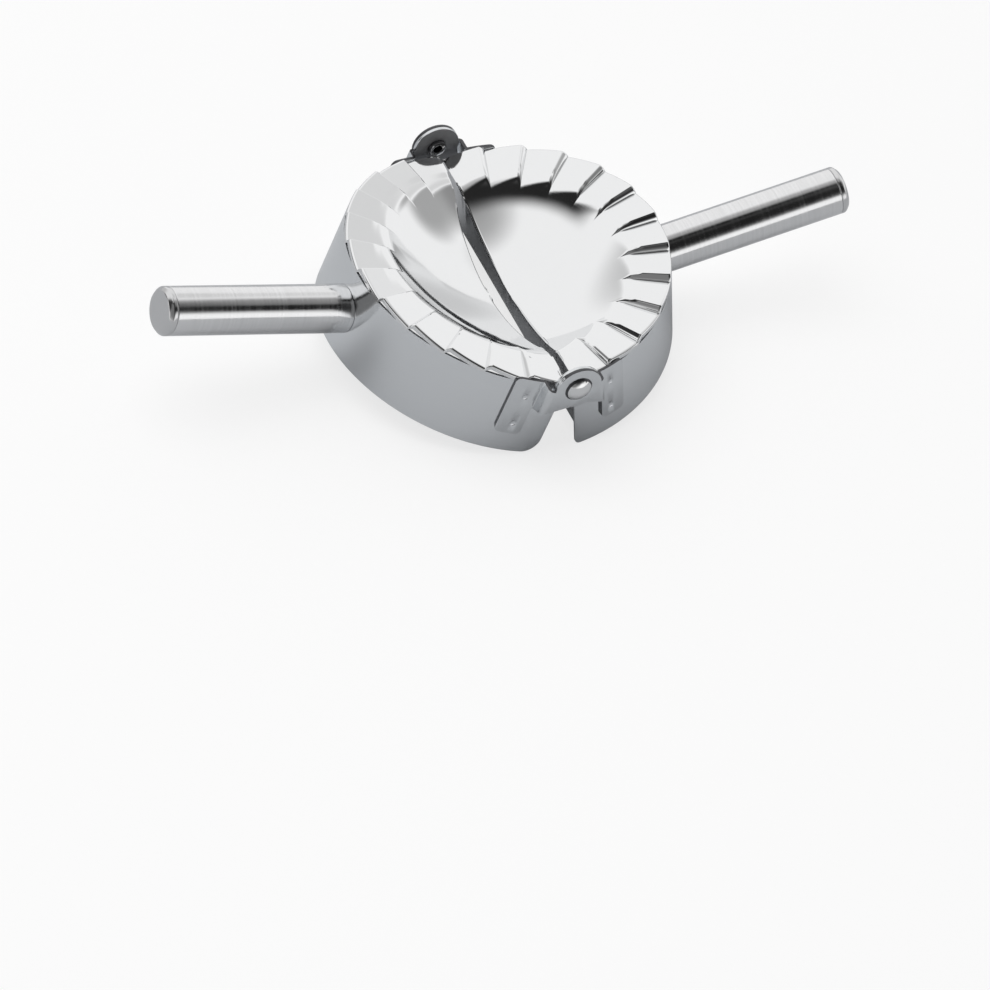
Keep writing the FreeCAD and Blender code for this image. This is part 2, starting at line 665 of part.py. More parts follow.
# The rounded inner corner of a raised skirt is the lowest point of the press.
axis_height = (size("skirt_depth + hinge_rise") * raise_cosine
               - size("parting_gap") * raise_sine
               - size("min(skirt_corner; skirt_far_corner)") * (raise_sine + raise_cosine - 1))
to_axis = FreeCAD.Placement(FreeCAD.Vector(0, 0, -size("hinge_rise")), FreeCAD.Rotation())
raised = FreeCAD.Placement(FreeCAD.Vector(0, 0, axis_height),
                           FreeCAD.Rotation(FreeCAD.Vector(0, -1, 0), raise_angle))
half_frames = {
    "right": raised * to_axis,
    "left": FreeCAD.Placement(FreeCAD.Vector(), FreeCAD.Rotation(FreeCAD.Vector(0, 0, 1), 180))
    * raised * to_axis,
}

parts = []


def finish(piece, label, frame):
    """Names a sub-part and sets it at its place in the press."""
    piece.Label = label
    piece.Placement = frame * piece.Placement
    parts.append(piece)


for half, frame in half_frames.items():
    word = half.capitalize()
    # The leaf at the half's own front end has the inner ear. The left half is
    # turned half a round, so its own front end lies at the back of the press.
    inner_end, outer_end = ("front", "back") if half == "right" else ("back", "front")
    finish(bowl_half(word + "Bowl"), half + "_bowl", frame)
    finish(skirt_half(word + "Skirt"), half + "_skirt", frame)
    finish(leaf(word + "InnerLeaf", -1, INNER_EAR), "%s_%s_hinge_leaf" % (half, inner_end), frame)
    finish(leaf(word + "OuterLeaf", 1, OUTER_EAR), "%s_%s_hinge_leaf" % (half, outer_end), frame)
    finish(rivet(word + "Rivet"), outer_end + "_rivet", frame * along_y(1))
    finish(handle_tube(word + "Handle"), half + "_handle_tube", frame)
    finish(handle_plug(word + "Grip"), half + "_handle_plug", frame)
    finish(handle_cap(word + "Cap"), half + "_handle_cap", frame * along_x("handle_end"))
    finish(washer(word + "Washer"), half + "_handle_washer",
           frame * along_x(washer_seat() + " - washer_wall"))
    finish(screw(word + "Screw"), half + "_handle_screw",
           frame * along_x(washer_seat() + " - washer_wall - seat_gap"))

doc.recompute()

# Checks before anything is written
for item in doc.Objects:
    if "Invalid" in item.State or "Error" in item.State:
        raise RuntimeError("%s did not build: %s" % (item.Name, item.State))
for piece in parts:
    if piece.Shape.isNull() or not piece.Shape.isValid() or len(piece.Shape.Solids) != 1:
        raise RuntimeError("%s is not one sound solid" % piece.Label)

os.makedirs("parts", exist_ok=True)
whole = FreeCAD.BoundBox()
for piece in parts:
    piece.Shape.exportStep("parts/%s.step" % piece.Label)
    whole.add(piece.Shape.optimalBoundingBox(False, False))
    print("%-24s volume %9.2f mm3" % (piece.Label, piece.Shape.Volume))

print("pieces", len(parts))
print("hinge axis height %.4f mm" % axis_height)
print("box %.3f x %.3f x %.3f mm, bottom %.4f" % (
    whole.XLength, whole.YLength, whole.ZLength, whole.ZMin))
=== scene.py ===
# %% [markdown]
# Press for filled half-moon pastries, dressed in polished steel.
#
# The press is two hinged halves of stamped stainless steel. Each has a pleated
# half bowl, a round skirt that cuts the dough, two hinge leaves and a hollow
# handle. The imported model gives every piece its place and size, and this lesson
# builds a finer skin for each of them on that frame.

# %% Load the frame
import math

import bmesh
import bpy
from mathutils import Matrix, Vector


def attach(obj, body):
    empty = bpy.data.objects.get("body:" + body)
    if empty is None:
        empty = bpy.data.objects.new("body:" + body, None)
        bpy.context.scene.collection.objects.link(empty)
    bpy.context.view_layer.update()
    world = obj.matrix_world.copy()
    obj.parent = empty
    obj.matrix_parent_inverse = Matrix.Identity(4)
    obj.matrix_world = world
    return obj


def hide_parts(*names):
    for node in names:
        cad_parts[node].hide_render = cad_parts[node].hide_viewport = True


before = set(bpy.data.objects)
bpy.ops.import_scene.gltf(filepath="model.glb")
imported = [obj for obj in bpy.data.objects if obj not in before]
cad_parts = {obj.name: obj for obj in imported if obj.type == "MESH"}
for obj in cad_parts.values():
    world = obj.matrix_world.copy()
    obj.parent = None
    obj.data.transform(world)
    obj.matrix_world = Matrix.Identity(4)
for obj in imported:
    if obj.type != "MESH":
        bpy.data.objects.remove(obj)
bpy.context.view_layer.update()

# %% [markdown]
# Both halves are the same stamping turned by half a round, so each piece is
# modelled once, lying flat, and then placed twice. A matrix does the placing:
# it raises the flat half about the hinge axis. Writing the matrix once keeps
# all the pieces of a half together, which is safer than turning each by hand.

# %% Place of the two halves
MM = 0.001
HINGE_HEIGHT = 27.8084 * MM
HINGE_RISE = 1.4 * MM
RAISED = math.radians(12)

right_place = (Matrix.Translation((0, 0, HINGE_HEIGHT)) @ Matrix.Rotation(-RAISED, 4, "Y")
               @ Matrix.Translation((0, 0, -HINGE_RISE)))
PLACES = {"right": right_place, "left": Matrix.Rotation(math.pi, 4, "Z") @ right_place}
print("hinge axis stands", round(HINGE_HEIGHT / MM, 2), "mm above the floor")

# %% [markdown]
# The photograph was taken with a long lens from the front left, well above the
# press, and the camera leaned a little. A camera can be aimed by a constraint,
# but a place, a point to look at and a lean are three plain values, and they
# stay the same in every view of the file.

# %% Camera
CAMERA_PLACE = Vector((-664.0, -1056.024, 1156.956)) * MM
CAMERA_AIM = Vector((-35.665, -77.883, 20.0)) * MM
CAMERA_LEAN = math.radians(13.008)

camera_data = bpy.data.cameras.new("photo_camera")
camera_data.lens = 214.604
camera_data.sensor_width = 36
camera_data.clip_start = 0.05
camera_data.clip_end = 50
camera = bpy.data.objects.new("photo_camera", camera_data)
bpy.context.scene.collection.objects.link(camera)
looking = (CAMERA_AIM - CAMERA_PLACE).to_track_quat("-Z", "Y").to_matrix()
camera.matrix_world = (Matrix.Translation(CAMERA_PLACE)
                       @ (looking @ Matrix.Rotation(CAMERA_LEAN, 3, "Z")).to_4x4())
bpy.context.scene.camera = camera
print("camera stands", round((CAMERA_AIM - CAMERA_PLACE).length, 3), "m away")

# %% [markdown]
# Polished steel shows its surroundings more than itself, so the studio is part
# of the finish. The press stands on a pale light table, which glows a little and
# so has hardly a shadow, under a soft light from above. A grey table sheet lies
# on it for reflections only, because a white table would bleach the upright sides.

# %% Studio: table and light
PRESS_MIDDLE = Vector((0, 0, 25 * MM))
FLOOR_WIDTH = 8
FLOOR_GLOW = 0.74
TABLE_WIDTH = 3
TABLE_LIFT = 0.01 * MM
LAMP_REACH = 1.5


def toward(azimuth, height):
    """The direction that an azimuth and a height in degrees point to."""
    turn, rise = math.radians(azimuth), math.radians(height)
    return Vector((math.sin(turn) * math.cos(rise), -math.cos(turn) * math.cos(rise),
                   math.sin(rise)))


def stage_sheet(name, width, height, shade, glow=0.0):
    """A flat matt sheet lying level at a height, which may glow by itself."""
    shape = bmesh.new()
    bmesh.ops.create_grid(shape, x_segments=1, y_segments=1, size=width / 2)
    bmesh.ops.translate(shape, vec=(0, 0, height), verts=shape.verts)
    mesh = bpy.data.meshes.new(name)
    shape.to_mesh(mesh)
    shape.free()
    matt = bpy.data.materials.new(name)
    matt.use_nodes = True
    skin = matt.node_tree.nodes["Principled BSDF"]
    skin.inputs["Base Color"].default_value = (*shade, 1)
    skin.inputs["Roughness"].default_value = 0.9
    skin.inputs["Emission Color"].default_value = (1, 1, 1, 1)
    skin.inputs["Emission Strength"].default_value = glow
    mesh.materials.append(matt)
    made = bpy.data.objects.new(name, mesh)
    bpy.context.scene.collection.objects.link(made)
    return made


stage_sheet("floor", FLOOR_WIDTH, 0, (0.24, 0.24, 0.24), glow=FLOOR_GLOW)
table = stage_sheet("table_sheet", TABLE_WIDTH, TABLE_LIFT, (0.55, 0.56, 0.575))
table.visible_camera = False
table.visible_diffuse = False
table.visible_shadow = False

disk = bpy.data.lights.new("top_light", "AREA")
disk.shape = "DISK"
disk.size = 1.6
disk.energy = 12
lamp = bpy.data.objects.new("top_light", disk)
lamp.location = PRESS_MIDDLE + LAMP_REACH * toward(-120, 70)
lamp.rotation_euler = (PRESS_MIDDLE - lamp.location).to_track_quat("-Z", "Y").to_euler()
lamp.visible_glossy = False
bpy.context.scene.collection.objects.link(lamp)
bpy.context.scene.view_settings.view_transform = "Standard"
print("light table, table sheet and one soft light")

# %% [markdown]
# The room's walls and the steels are built from a few kinds of node again and
# again: a noise, a range and a sum. A small helper for each keeps the recipes
# short. A node group needs its sockets first, so one helper makes both.

# %% Node tools
def new_group(name, inputs, outputs):
    """A shader group with named number or vector sockets."""
    group = bpy.data.node_groups.new(name, "ShaderNodeTree")
    for label, kind, value in inputs:
        socket = group.interface.new_socket(label, in_out="INPUT", socket_type=kind)
        if value is not None:
            socket.default_value = value
    for label, kind in outputs:
        group.interface.new_socket(label, in_out="OUTPUT", socket_type=kind)
    return group, group.nodes.new("NodeGroupInput"), group.nodes.new("NodeGroupOutput")


def noise_node(tree, scale, detail):
    """A noise texture with plain settings."""
    noise = tree.nodes.new("ShaderNodeTexNoise")
    noise.inputs["Scale"].default_value = scale
    noise.inputs["Detail"].default_value = detail
    noise.inputs["Roughness"].default_value = 0.55
    return noise


def range_node(tree, source, low, high, start, end):
    """Maps a value from one range to another, held at the ends."""
    mapped = tree.nodes.new("ShaderNodeMapRange")
    for label, value in (("From Min", low), ("From Max", high),
                         ("To Min", start), ("To Max", end)):
        if isinstance(value, (int, float)):
            mapped.inputs[label].default_value = value
        else:
            tree.links.new(value, mapped.inputs[label])
    tree.links.new(source, mapped.inputs["Value"])
    return mapped.outputs["Result"]


def math_node(tree, action, first, second=0.0):
    """One sum on two values or sockets."""
    made = tree.nodes.new("ShaderNodeMath")
    made.operation = action
    for socket, value in zip(made.inputs, (first, second)):
        if isinstance(value, (int, float)):
            socket.default_value = value
        else:
            tree.links.new(value, socket)
    return made.outputs["Value"]


print("node tools for groups, noise, ranges and sums")

# %% [markdown]
# The room's walls are painted by direction, which is easier to steer than many
# cards and has soft edges, as a cloth tent has. A soft spot is a cone round an
# axis: the dot product of a direction and the axis says how near they are. These
# small tools make such a cone and mix a grey value over what is there already.

# %% Studio: tools for the walls
room = bpy.data.worlds.new("studio_room")
room.use_nodes = True
walls = room.node_tree
direction = walls.nodes.new("ShaderNodeTexCoord").outputs["Generated"]


def facing(axis):
    """How far a direction looks along an axis."""
    made = walls.nodes.new("ShaderNodeVectorMath")
    made.operation = "DOT_PRODUCT"
    walls.links.new(direction, made.inputs[0])
    made.inputs[1].default_value = axis
    return made.outputs["Value"]


def soft_range(source, low, high):
    """0 below a value and 1 above another, with a soft change."""
    made = walls.nodes.new("ShaderNodeMapRange")
    made.interpolation_type = "SMOOTHSTEP"
    made.inputs["From Min"].default_value = low
    made.inputs["From Max"].default_value = high
    walls.links.new(source, made.inputs["Value"])
    return made.outputs["Result"]


def cone(axis, inner, outer):
    """1 within an angle of an axis and 0 beyond another; angles in degrees."""
    return soft_range(facing(axis), math.cos(math.radians(outer)), math.cos(math.radians(inner)))


def paint(base, share, value):
    """Mixes a grey value over a base by a share."""
    made = walls.nodes.new("ShaderNodeMix")
    made.data_type = "FLOAT"
    walls.links.new(share, made.inputs["Factor"])
    if isinstance(base, float):
        made.inputs["A"].default_value = base
    else:
        walls.links.new(base, made.inputs["A"])
    made.inputs["B"].default_value = value
    return made.outputs["Result"]


print("walls ready to paint:", room.name)

# %% [markdown]
# The room is white behind the press. Soft spots of grey stand where the
# photographer and the stands would be: a name, the azimuth and height of the
# middle, the angles where the spot is full and where it ends, and its grey. A
# dark hoop, the rim of the tent's opening, hangs high on the left. It is a part
# of a ring, which is a line of equal angle round one axis.

# %% Studio: the painted room
WALL_SHADE = 0.97
ROOM = [
    ("back_left_low", -150, 2, 12, 30, 0.62),
    ("back_right_high", 128, 50, 2, 18, 0.74),
    ("front_left", -36, 34, 24, 46, 0.2),
    ("left_stand", -95, 30, 15, 23, 0.03),
    ("overhead", 75, 76, 2, 16, 0.4),
    ("right_grey", 72, 44, 6, 24, 0.3),
    ("right_low", 92, 30, 4, 16, 0.42),
    ("overhead_front", 22, 80, 8, 28, 0.42),
    ("camera_side", 15, 48, 5, 43, 0.015),
    ("camera_limb", 47, 34, 6, 15, 0.015),
    ("right_stand", 60, 16, 3, 11, 0.05),
    ("front_strip", 24, 5, 9, 22, 1.1),
    ("parting_stand", -129, 9, 6, 14, 0.02),
]
HOOP_AXIS = toward(-175, 64)
HOOP_ANGLE = 42.0
HOOP_HALF = (2.0, 11.0)
HOOP_REACH = (toward(-55, 62), 34, 47)
HOOP_SHADE = 0.02

shade = WALL_SHADE
for name, azimuth, height, inner, outer, value in ROOM:
    shade = paint(shade, cone(toward(azimuth, height), inner, outer), value)

lean = math_node(walls, "ARCCOSINE", facing(HOOP_AXIS))
off = math_node(walls, "SUBTRACT", lean, math.radians(HOOP_ANGLE))
edge = soft_range(math_node(walls, "ABSOLUTE", off), *[math.radians(half) for half in HOOP_HALF])
hoop = math_node(walls, "MULTIPLY", math_node(walls, "SUBTRACT", 1.0, edge), cone(*HOOP_REACH))
shade = paint(shade, hoop, HOOP_SHADE)
walls.links.new(shade, walls.nodes["Background"].inputs["Color"])
walls.nodes["Background"].inputs["Strength"].default_value = 1.0
bpy.context.scene.world = room
print("room has", len(ROOM), "soft spots and a dark hoop")

# %% [markdown]
# Real polished steel is never quite even: the polish leaves a faint haze, hands
# leave smears, and a rolled sheet keeps a fine grain. All the steels share two
# effects, so each is a node group that is built once. The haze group gives a
# roughness and a height from soft noise. The grain group gives fine streaks
# from stretched noise. Both read the "place" attribute, which is a point's
# place on the flat half, so that both halves carry the same finish.

# %% Shared steel effects
SMEAR_SCALE = 55
RIPPLE_SCALE = 130

haze_group, haze_in, haze_out = new_group(
    "polish_haze",
    [("Vector", "NodeSocketVector", None), ("Least", "NodeSocketFloat", 0.05),
     ("Most", "NodeSocketFloat", 0.12)],
    [("Roughness", "NodeSocketFloat"), ("Height", "NodeSocketFloat")])
smear = noise_node(haze_group, SMEAR_SCALE, 3)
ripple = noise_node(haze_group, RIPPLE_SCALE, 1)
haze_group.links.new(haze_in.outputs["Vector"], smear.inputs["Vector"])
haze_group.links.new(haze_in.outputs["Vector"], ripple.inputs["Vector"])
haze_group.links.new(
    range_node(haze_group, smear.outputs["Fac"], 0.35, 0.7,
               haze_in.outputs["Least"], haze_in.outputs["Most"]),
    haze_out.inputs["Roughness"])
haze_group.links.new(ripple.outputs["Fac"], haze_out.inputs["Height"])

grain_group, grain_in, grain_out = new_group(
    "drawn_grain",
    [("Vector", "NodeSocketVector", None), ("Stretch", "NodeSocketVector", (1, 1, 1))],
    [("Streaks", "NodeSocketFloat")])
stretched = grain_group.nodes.new("ShaderNodeVectorMath")
stretched.operation = "MULTIPLY"
grain_group.links.new(grain_in.outputs["Vector"], stretched.inputs[0])
grain_group.links.new(grain_in.outputs["Stretch"], stretched.inputs[1])
streaks = noise_node(grain_group, 1, 4)
grain_group.links.new(stretched.outputs["Vector"], streaks.inputs["Vector"])
grain_group.links.new(streaks.outputs["Fac"], grain_out.inputs["Streaks"])
print("shared effects:", haze_group.name, grain_group.name)

# %% [markdown]
# Each steel is one recipe with its own numbers: the colour of the metal, how
# far the haze moves its roughness, the grain's direction and depth. The bowls
# are mirror polished, the skirts and handles are polished less, the leaves are
# plain strip and the rivets are burnished. Where no polish reaches, the steel is
# rougher, and it is darker as painted shade: on sheared edges, inside the ears
# and down the walls of the parting. A carried-over node has no "place"
# attribute, so it reads Object coordinates.

# %% Steels
GRAIN_DARK = 0.12
GRAIN_LIGHT = 0.06
GRAIN_ROUGH = 0.05
GRAIN_DEPTH = 0.007 * MM


def steel(name, colour, least, most, stretch, grain, ripple_depth, own_place=True):
    """A bare metal with haze in its polish and a drawn grain."""
    made = bpy.data.materials.new(name)
    made.use_nodes = True
    tree = made.node_tree
    skin = tree.nodes["Principled BSDF"]
    skin.inputs["Metallic"].default_value = 1.0
    if own_place:
        source = tree.nodes.new("ShaderNodeAttribute")
        source.attribute_name = "place"
        spot = source.outputs["Vector"]
    else:
        spot = tree.nodes.new("ShaderNodeTexCoord").outputs["Object"]

    haze = tree.nodes.new("ShaderNodeGroup")
    haze.node_tree = haze_group
    haze.inputs["Least"].default_value = least
    haze.inputs["Most"].default_value = most
    tree.links.new(spot, haze.inputs["Vector"])
    lines = tree.nodes.new("ShaderNodeGroup")
    lines.node_tree = grain_group
    lines.inputs["Stretch"].default_value = stretch
    tree.links.new(spot, lines.inputs["Vector"])

    # Grain lightens and roughens the steel by a little.
    shade = tree.nodes.new("ShaderNodeMix")
    shade.data_type = "RGBA"
    dark = [value * (1 - GRAIN_DARK * grain) for value in colour]
    light = [min(1, value * (1 + GRAIN_LIGHT * grain)) for value in colour]
    shade.inputs["A"].default_value = (*dark, 1)
    shade.inputs["B"].default_value = (*light, 1)
    tree.links.new(lines.outputs["Streaks"], shade.inputs["Factor"])
    tree.links.new(shade.outputs["Result"], skin.inputs["Base Color"])
    rough = range_node(tree, lines.outputs["Streaks"], 0.3, 0.7,
                       -GRAIN_ROUGH * grain, GRAIN_ROUGH * grain)
    tree.links.new(math_node(tree, "ADD", haze.outputs["Roughness"], rough),
                   skin.inputs["Roughness"])

    ripples = tree.nodes.new("ShaderNodeBump")
    ripples.inputs["Distance"].default_value = ripple_depth * MM
    ripples.inputs["Strength"].default_value = 1.0
    tree.links.new(haze.outputs["Height"], ripples.inputs["Height"])
    scratches = tree.nodes.new("ShaderNodeBump")
    scratches.inputs["Distance"].default_value = GRAIN_DEPTH * grain
    scratches.inputs["Strength"].default_value = 1.0
    tree.links.new(lines.outputs["Streaks"], scratches.inputs["Height"])
    tree.links.new(ripples.outputs["Normal"], scratches.inputs["Normal"])
    tree.links.new(scratches.outputs["Normal"], skin.inputs["Normal"])
    return made


ALONG_ROUND = (60, 60, 2600)
ROUND_HANDLE = (3000, 60, 60)
UPRIGHT = (1500, 1500, 60)
EVEN = (300, 300, 300)
bowl_steel = steel("polished_bowl", (0.86, 0.865, 0.87), 0.05, 0.09, EVEN, 0.1, 0.012)
skirt_steel = steel("rolled_skirt", (0.83, 0.847, 0.863), 0.08, 0.13, ALONG_ROUND, 0.2, 0.006)
tube_steel = steel("drawn_handle", (0.83, 0.83, 0.835), 0.12, 0.17, ROUND_HANDLE, 1.4, 0.006)
cap_steel = steel("pressed_cap", (0.7, 0.7, 0.705), 0.12, 0.18, EVEN, 0.3, 0.008)
leaf_steel = steel("sheared_leaf", (0.74, 0.755, 0.77), 0.14, 0.22, UPRIGHT, 0.3, 0.01)
# Painted shade: the next three steels are darker than the metal to paint shade on edges and rims,
# inside the ears and on the parting wall; their higher roughness is the real lack of polish.
shade_edge_steel = steel("painted_shade_edge", (0.1, 0.1, 0.105), 0.3, 0.4, EVEN, 0.6, 0.02)
dull_shade_steel = steel("dull_ear_painted_shade", (0.4, 0.4, 0.41), 0.6, 0.75, EVEN, 1.6, 0.03)
wall_steel = steel("parting_wall", (0.5, 0.505, 0.515), 0.16, 0.24, UPRIGHT, 0.5, 0.01)
rivet_steel = steel("burnished_rivet", (0.86, 0.86, 0.86), 0.06, 0.1, EVEN, 0.15, 0.006)
hidden_steel = steel("turned_insides", (0.6, 0.6, 0.6), 0.25, 0.4, EVEN, 0.5, 0.01,
                     own_place=False)
print("ten steels; the bowls are the brightest")

# %% [markdown]
# A finished shape becomes two objects, one for each half. The flat place of
# every point is kept as the "place" attribute before the matrix moves it, and
# edges sharper than an angle stay crisp while the rest is shaded smooth. The
# object itself stays at the origin, unturned, as the frame's own nodes do.

# %% Finishing a piece
pieces_made = []


def finish(shape, title, materials, ends, sharp=40):
    """Makes a flat half's shape into pieces on the halves in ends, then frees it."""
    for half, node in ends.items():
        copy = shape.copy()
        mesh = bpy.data.meshes.new(node)
        layer = copy.verts.layers.float_vector.new("place")
        for vert in copy.verts:
            vert[layer] = vert.co
        bmesh.ops.transform(copy, matrix=PLACES[half], verts=copy.verts)
        for face in copy.faces:
            face.smooth = True
        copy.to_mesh(mesh)
        copy.free()
        mesh.set_sharp_from_angle(angle=math.radians(sharp))
        for material in materials:
            mesh.materials.append(material)
        piece = bpy.data.objects.new("%s_%s" % (half, title), mesh)
        bpy.context.scene.collection.objects.link(piece)
        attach(piece, half + "_half")
        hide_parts(node)
        pieces_made.append(piece)
    print("%-12s %6d faces, twice" % (title, len(shape.faces)))
    shape.free()


print("a finished piece stands on", len(PLACES), "halves")

# %% [markdown]
# The bowl is a stamped sheet: a shallow ball shape, a rounded lip, and a rim
# pressed into pleats like a circular saw, each a long facet and a step that
# rises steeply from its foot and bends over to a crisp ridge. One could model a
# pleat and array it, but the pleats melt into the lip. So a flat ray is spun
# round in small turns, which gives a fan of lines that lie on every ridge and
# foot, and then a rule lifts each point to its height.

# %% Bowl: a flat fan
RIM_RADIUS = 47.5 * MM
SHEET = 0.8 * MM
PARTING = 0.4 * MM
FOLD_START = 1.3 * MM
WEB_REACH = 46.6 * MM
PLEAT_COUNT = 12
PLEAT_TURN = 180 / PLEAT_COUNT
STEP_HALF = 0.8 * MM
STEP_RIDGE = 0.84 * MM
STEP_RADIUS = 3.27 * MM
STEP_MIDDLE = STEP_RIDGE + STEP_RADIUS * math.sin(math.radians(25))

RINGS = [0, 2, 4, 7, 10, 13, 16, 19, 22, 25, 27.5, 29.5, 31, 32, 32.8, 33.4, 33.9, 34.3, 34.7,
         35.1, 35.5, 35.9, 36.3, 36.7, 37.1, 37.5, 38, 38.6, 39.4, 40.5, 42, 43.5, 45, 46.2,
         math.hypot(WEB_REACH, FOLD_START) / MM, 46.8, 47.0, 47.17, 47.31, 47.41, 47.47, 47.5]
STEP_LINES = [-2.4, -1.6, -1.2, -1.06]
for lean in (71, 67, 61, 55, 49, 43, 37, 31, 27, 25):
    along = STEP_MIDDLE - STEP_RADIUS * math.sin(math.radians(lean))
    STEP_LINES.append(math.degrees(along / RIM_RADIUS))
STEP_LINES += [1.1, 1.25, 1.7, 2.4]
FACET_LINES = [4, 6, 8, 10, 12]

fan = bmesh.new()
tip = fan.verts.new((0, 0, 0))
ray = [tip]
for radius in RINGS[1:]:
    tip = bmesh.ops.extrude_vert_indiv(fan, verts=[tip])["verts"][0]
    tip.co = (0, -radius * MM, 0)
    ray.append(tip)

lines = [0.0]
for pleat in range(PLEAT_COUNT):
    lines += [pleat * PLEAT_TURN + line for line in FACET_LINES]
    if pleat < PLEAT_COUNT - 1:
        lines += [(pleat + 1) * PLEAT_TURN + line for line in STEP_LINES]
lines.append(180.0)
front = ray + list({edge for vert in ray for edge in vert.link_edges})
for before, after in zip(lines, lines[1:]):
    front = bmesh.ops.spin(fan, geom=front, axis=(0, 0, 1), cent=(0, 0, 0), steps=1,
                           angle=math.radians(after - before))["geom_last"]
bmesh.ops.remove_doubles(fan, verts=fan.verts, dist=0.001 * MM)
print("fan has", len(lines), "lines and", len(RINGS), "rings")

# %% [markdown]
# Now the rule. Along the radius the sheet follows the ball, then the rounded
# lip. Round the rim it follows the pleats. The sheet takes the lower of the
# two, with a soft change between them, because the die presses the pleats'
# inner ends into the lip. The outer edge is rounded over by the trimming.

# %% Bowl: the rule for its height
BALL_RADIUS = 66.327 * MM
BALL_MIDDLE = 56.027 * MM
BALL_END = 35.53 * MM
LIP_MIDDLE = (38.74 * MM, -5.05 * MM)
LIP_RADIUS = 6.0 * MM
HALF_RISE = 0.95 * MM
FACET_FALL = 2 * HALF_RISE / (RIM_RADIUS * math.radians(PLEAT_TURN) - 2 * STEP_HALF)
SOFT_MEET = 1.3 * MM
EDGE_ROUND = 0.72 * MM
HELD_RADIUS = 30 * MM
LEVEL_END = 88.2


def bowl_height(radius):
    """Height of the ball and the lip, without the pleats."""
    if radius < BALL_END:
        return BALL_MIDDLE - math.sqrt(BALL_RADIUS ** 2 - radius ** 2)
    if radius < LIP_MIDDLE[0]:
        return LIP_MIDDLE[1] + math.sqrt(LIP_RADIUS ** 2 - (LIP_MIDDLE[0] - radius) ** 2)
    return LIP_MIDDLE[1] + LIP_RADIUS + 2 * (radius - LIP_MIDDLE[0])


def pleat_height(angle):
    """Height of the pleats at the rim, from a step's foot to its ridge; angle in degrees."""
    turn = (angle + 90 + PLEAT_TURN / 2) % PLEAT_TURN - PLEAT_TURN / 2
    along = math.radians(turn) * RIM_RADIUS
    foot_side = -HALF_RISE - FACET_FALL * (along + STEP_HALF)
    if along > STEP_RIDGE:
        return HALF_RISE - FACET_FALL * (along - STEP_HALF)
    from_middle = along - STEP_MIDDLE
    if -from_middle >= STEP_RADIUS:
        return foot_side
    centre = HALF_RISE - FACET_FALL * (STEP_RIDGE - STEP_HALF)
    centre -= math.sqrt(STEP_RADIUS ** 2 - (STEP_RIDGE - STEP_MIDDLE) ** 2)
    return max(foot_side, centre + math.sqrt(STEP_RADIUS ** 2 - from_middle ** 2))


def sheet_height(radius, angle):
    """Height of the stamped sheet's upper face."""
    pleats = pleat_height(angle) * radius / RIM_RADIUS
    ball = bowl_height(radius)
    near = max(0.0, 1 - abs(ball - pleats) / SOFT_MEET)
    height = min(ball, pleats) - near ** 2 * SOFT_MEET / 4
    over = radius - (RIM_RADIUS - EDGE_ROUND)
    if over > 0:
        height -= EDGE_ROUND - math.sqrt(max(0.0, EDGE_ROUND ** 2 - over ** 2))
    return height


print("ridge to foot", round(2 * HALF_RISE / MM, 2), "mm at the rim")

# %% [markdown]
# Each point of the fan is now lifted by the rule. Before that, the points near
# the parting line are moved on to a straight line, where the sheet will be folded.

# %% Bowl: lift the fan
def smooth_step(share):
    """Eases from 0 to 1."""
    share = min(1.0, max(0.0, share))
    return share * share * (3 - 2 * share)


for vert in fan.verts:
    radius = math.hypot(vert.co.x, vert.co.y)
    turn = math.atan2(vert.co.y, vert.co.x)
    held = smooth_step(radius / HELD_RADIUS)
    across = radius * math.cos(turn) + FOLD_START * (1 - held)
    if across <= FOLD_START * 1.0001:
        vert.co.x = FOLD_START
        vert.co.y = math.copysign(math.sqrt(max(0.0, radius ** 2 - (FOLD_START * held) ** 2)),
                                  vert.co.y)
    else:
        vert.co.x = across
    radius = math.hypot(vert.co.x, vert.co.y)
    angle = math.degrees(math.atan2(vert.co.y, vert.co.x))
    vert.co.z = sheet_height(radius, max(-LEVEL_END, min(LEVEL_END, angle)))
bmesh.ops.recalc_face_normals(fan, faces=fan.faces)
if sum(face.normal.z for face in fan.faces) < 0:
    bmesh.ops.reverse_faces(fan, faces=fan.faces)
print("bowl is", round(-min(v.co.z for v in fan.verts) / MM, 2), "mm deep")

# %% [markdown]
# Along the parting line the sheet is folded down into a wall, which stiffens it
# and closes the skirt. In the real shop this is a press-brake fold. Here the
# straight edge is extruded outwards and then down, and the bevel tool rounds
# the fold, which gives the bright line that a fold has on polished steel.

# %% Bowl: the folded wall
WEB_DEPTH = 18.5 * MM
FOLD_RADIUS = 0.85 * MM


def straight_edges(shape, across, reach=1.0):
    """The edges that lie on a plane across X, no further out than a reach."""
    tiny = 0.002 * MM
    return [edge for edge in shape.edges
            if all(abs(v.co.x - across) < tiny and abs(v.co.y) < reach + tiny
                   for v in edge.verts)]


flat_strip = bmesh.ops.extrude_edge_only(fan, edges=straight_edges(fan, FOLD_START))
for vert in (item for item in flat_strip["geom"] if isinstance(item, bmesh.types.BMVert)):
    vert.co.x = PARTING
fold_edges = straight_edges(fan, PARTING, WEB_REACH)
wall = bmesh.ops.extrude_edge_only(fan, edges=fold_edges)
for vert in (item for item in wall["geom"] if isinstance(item, bmesh.types.BMVert)):
    vert.co.z = -WEB_DEPTH
bmesh.ops.bevel(fan, geom=fold_edges, offset=FOLD_RADIUS, segments=6, profile=0.5,
                affect="EDGES", clamp_overlap=False, material=-1)
bmesh.ops.recalc_face_normals(fan, faces=fan.faces)
print("wall folded down", WEB_DEPTH / MM, "mm")

# %% [markdown]
# A sheet has two faces. The extrude tool can copy the whole skin and join both
# along their edges. The copy then moves by the sheet's thickness: straight down
# under the pleats, as a die does it, and square to the surface elsewhere. The
# wall below the fold gets the duller steel, rougher because no wheel polishes it
# and darker as painted shade in the gap between the halves.

# %% Bowl: thickness
PLUMB_SHARE = 1.015
WALL_TOP = -1.5 * MM

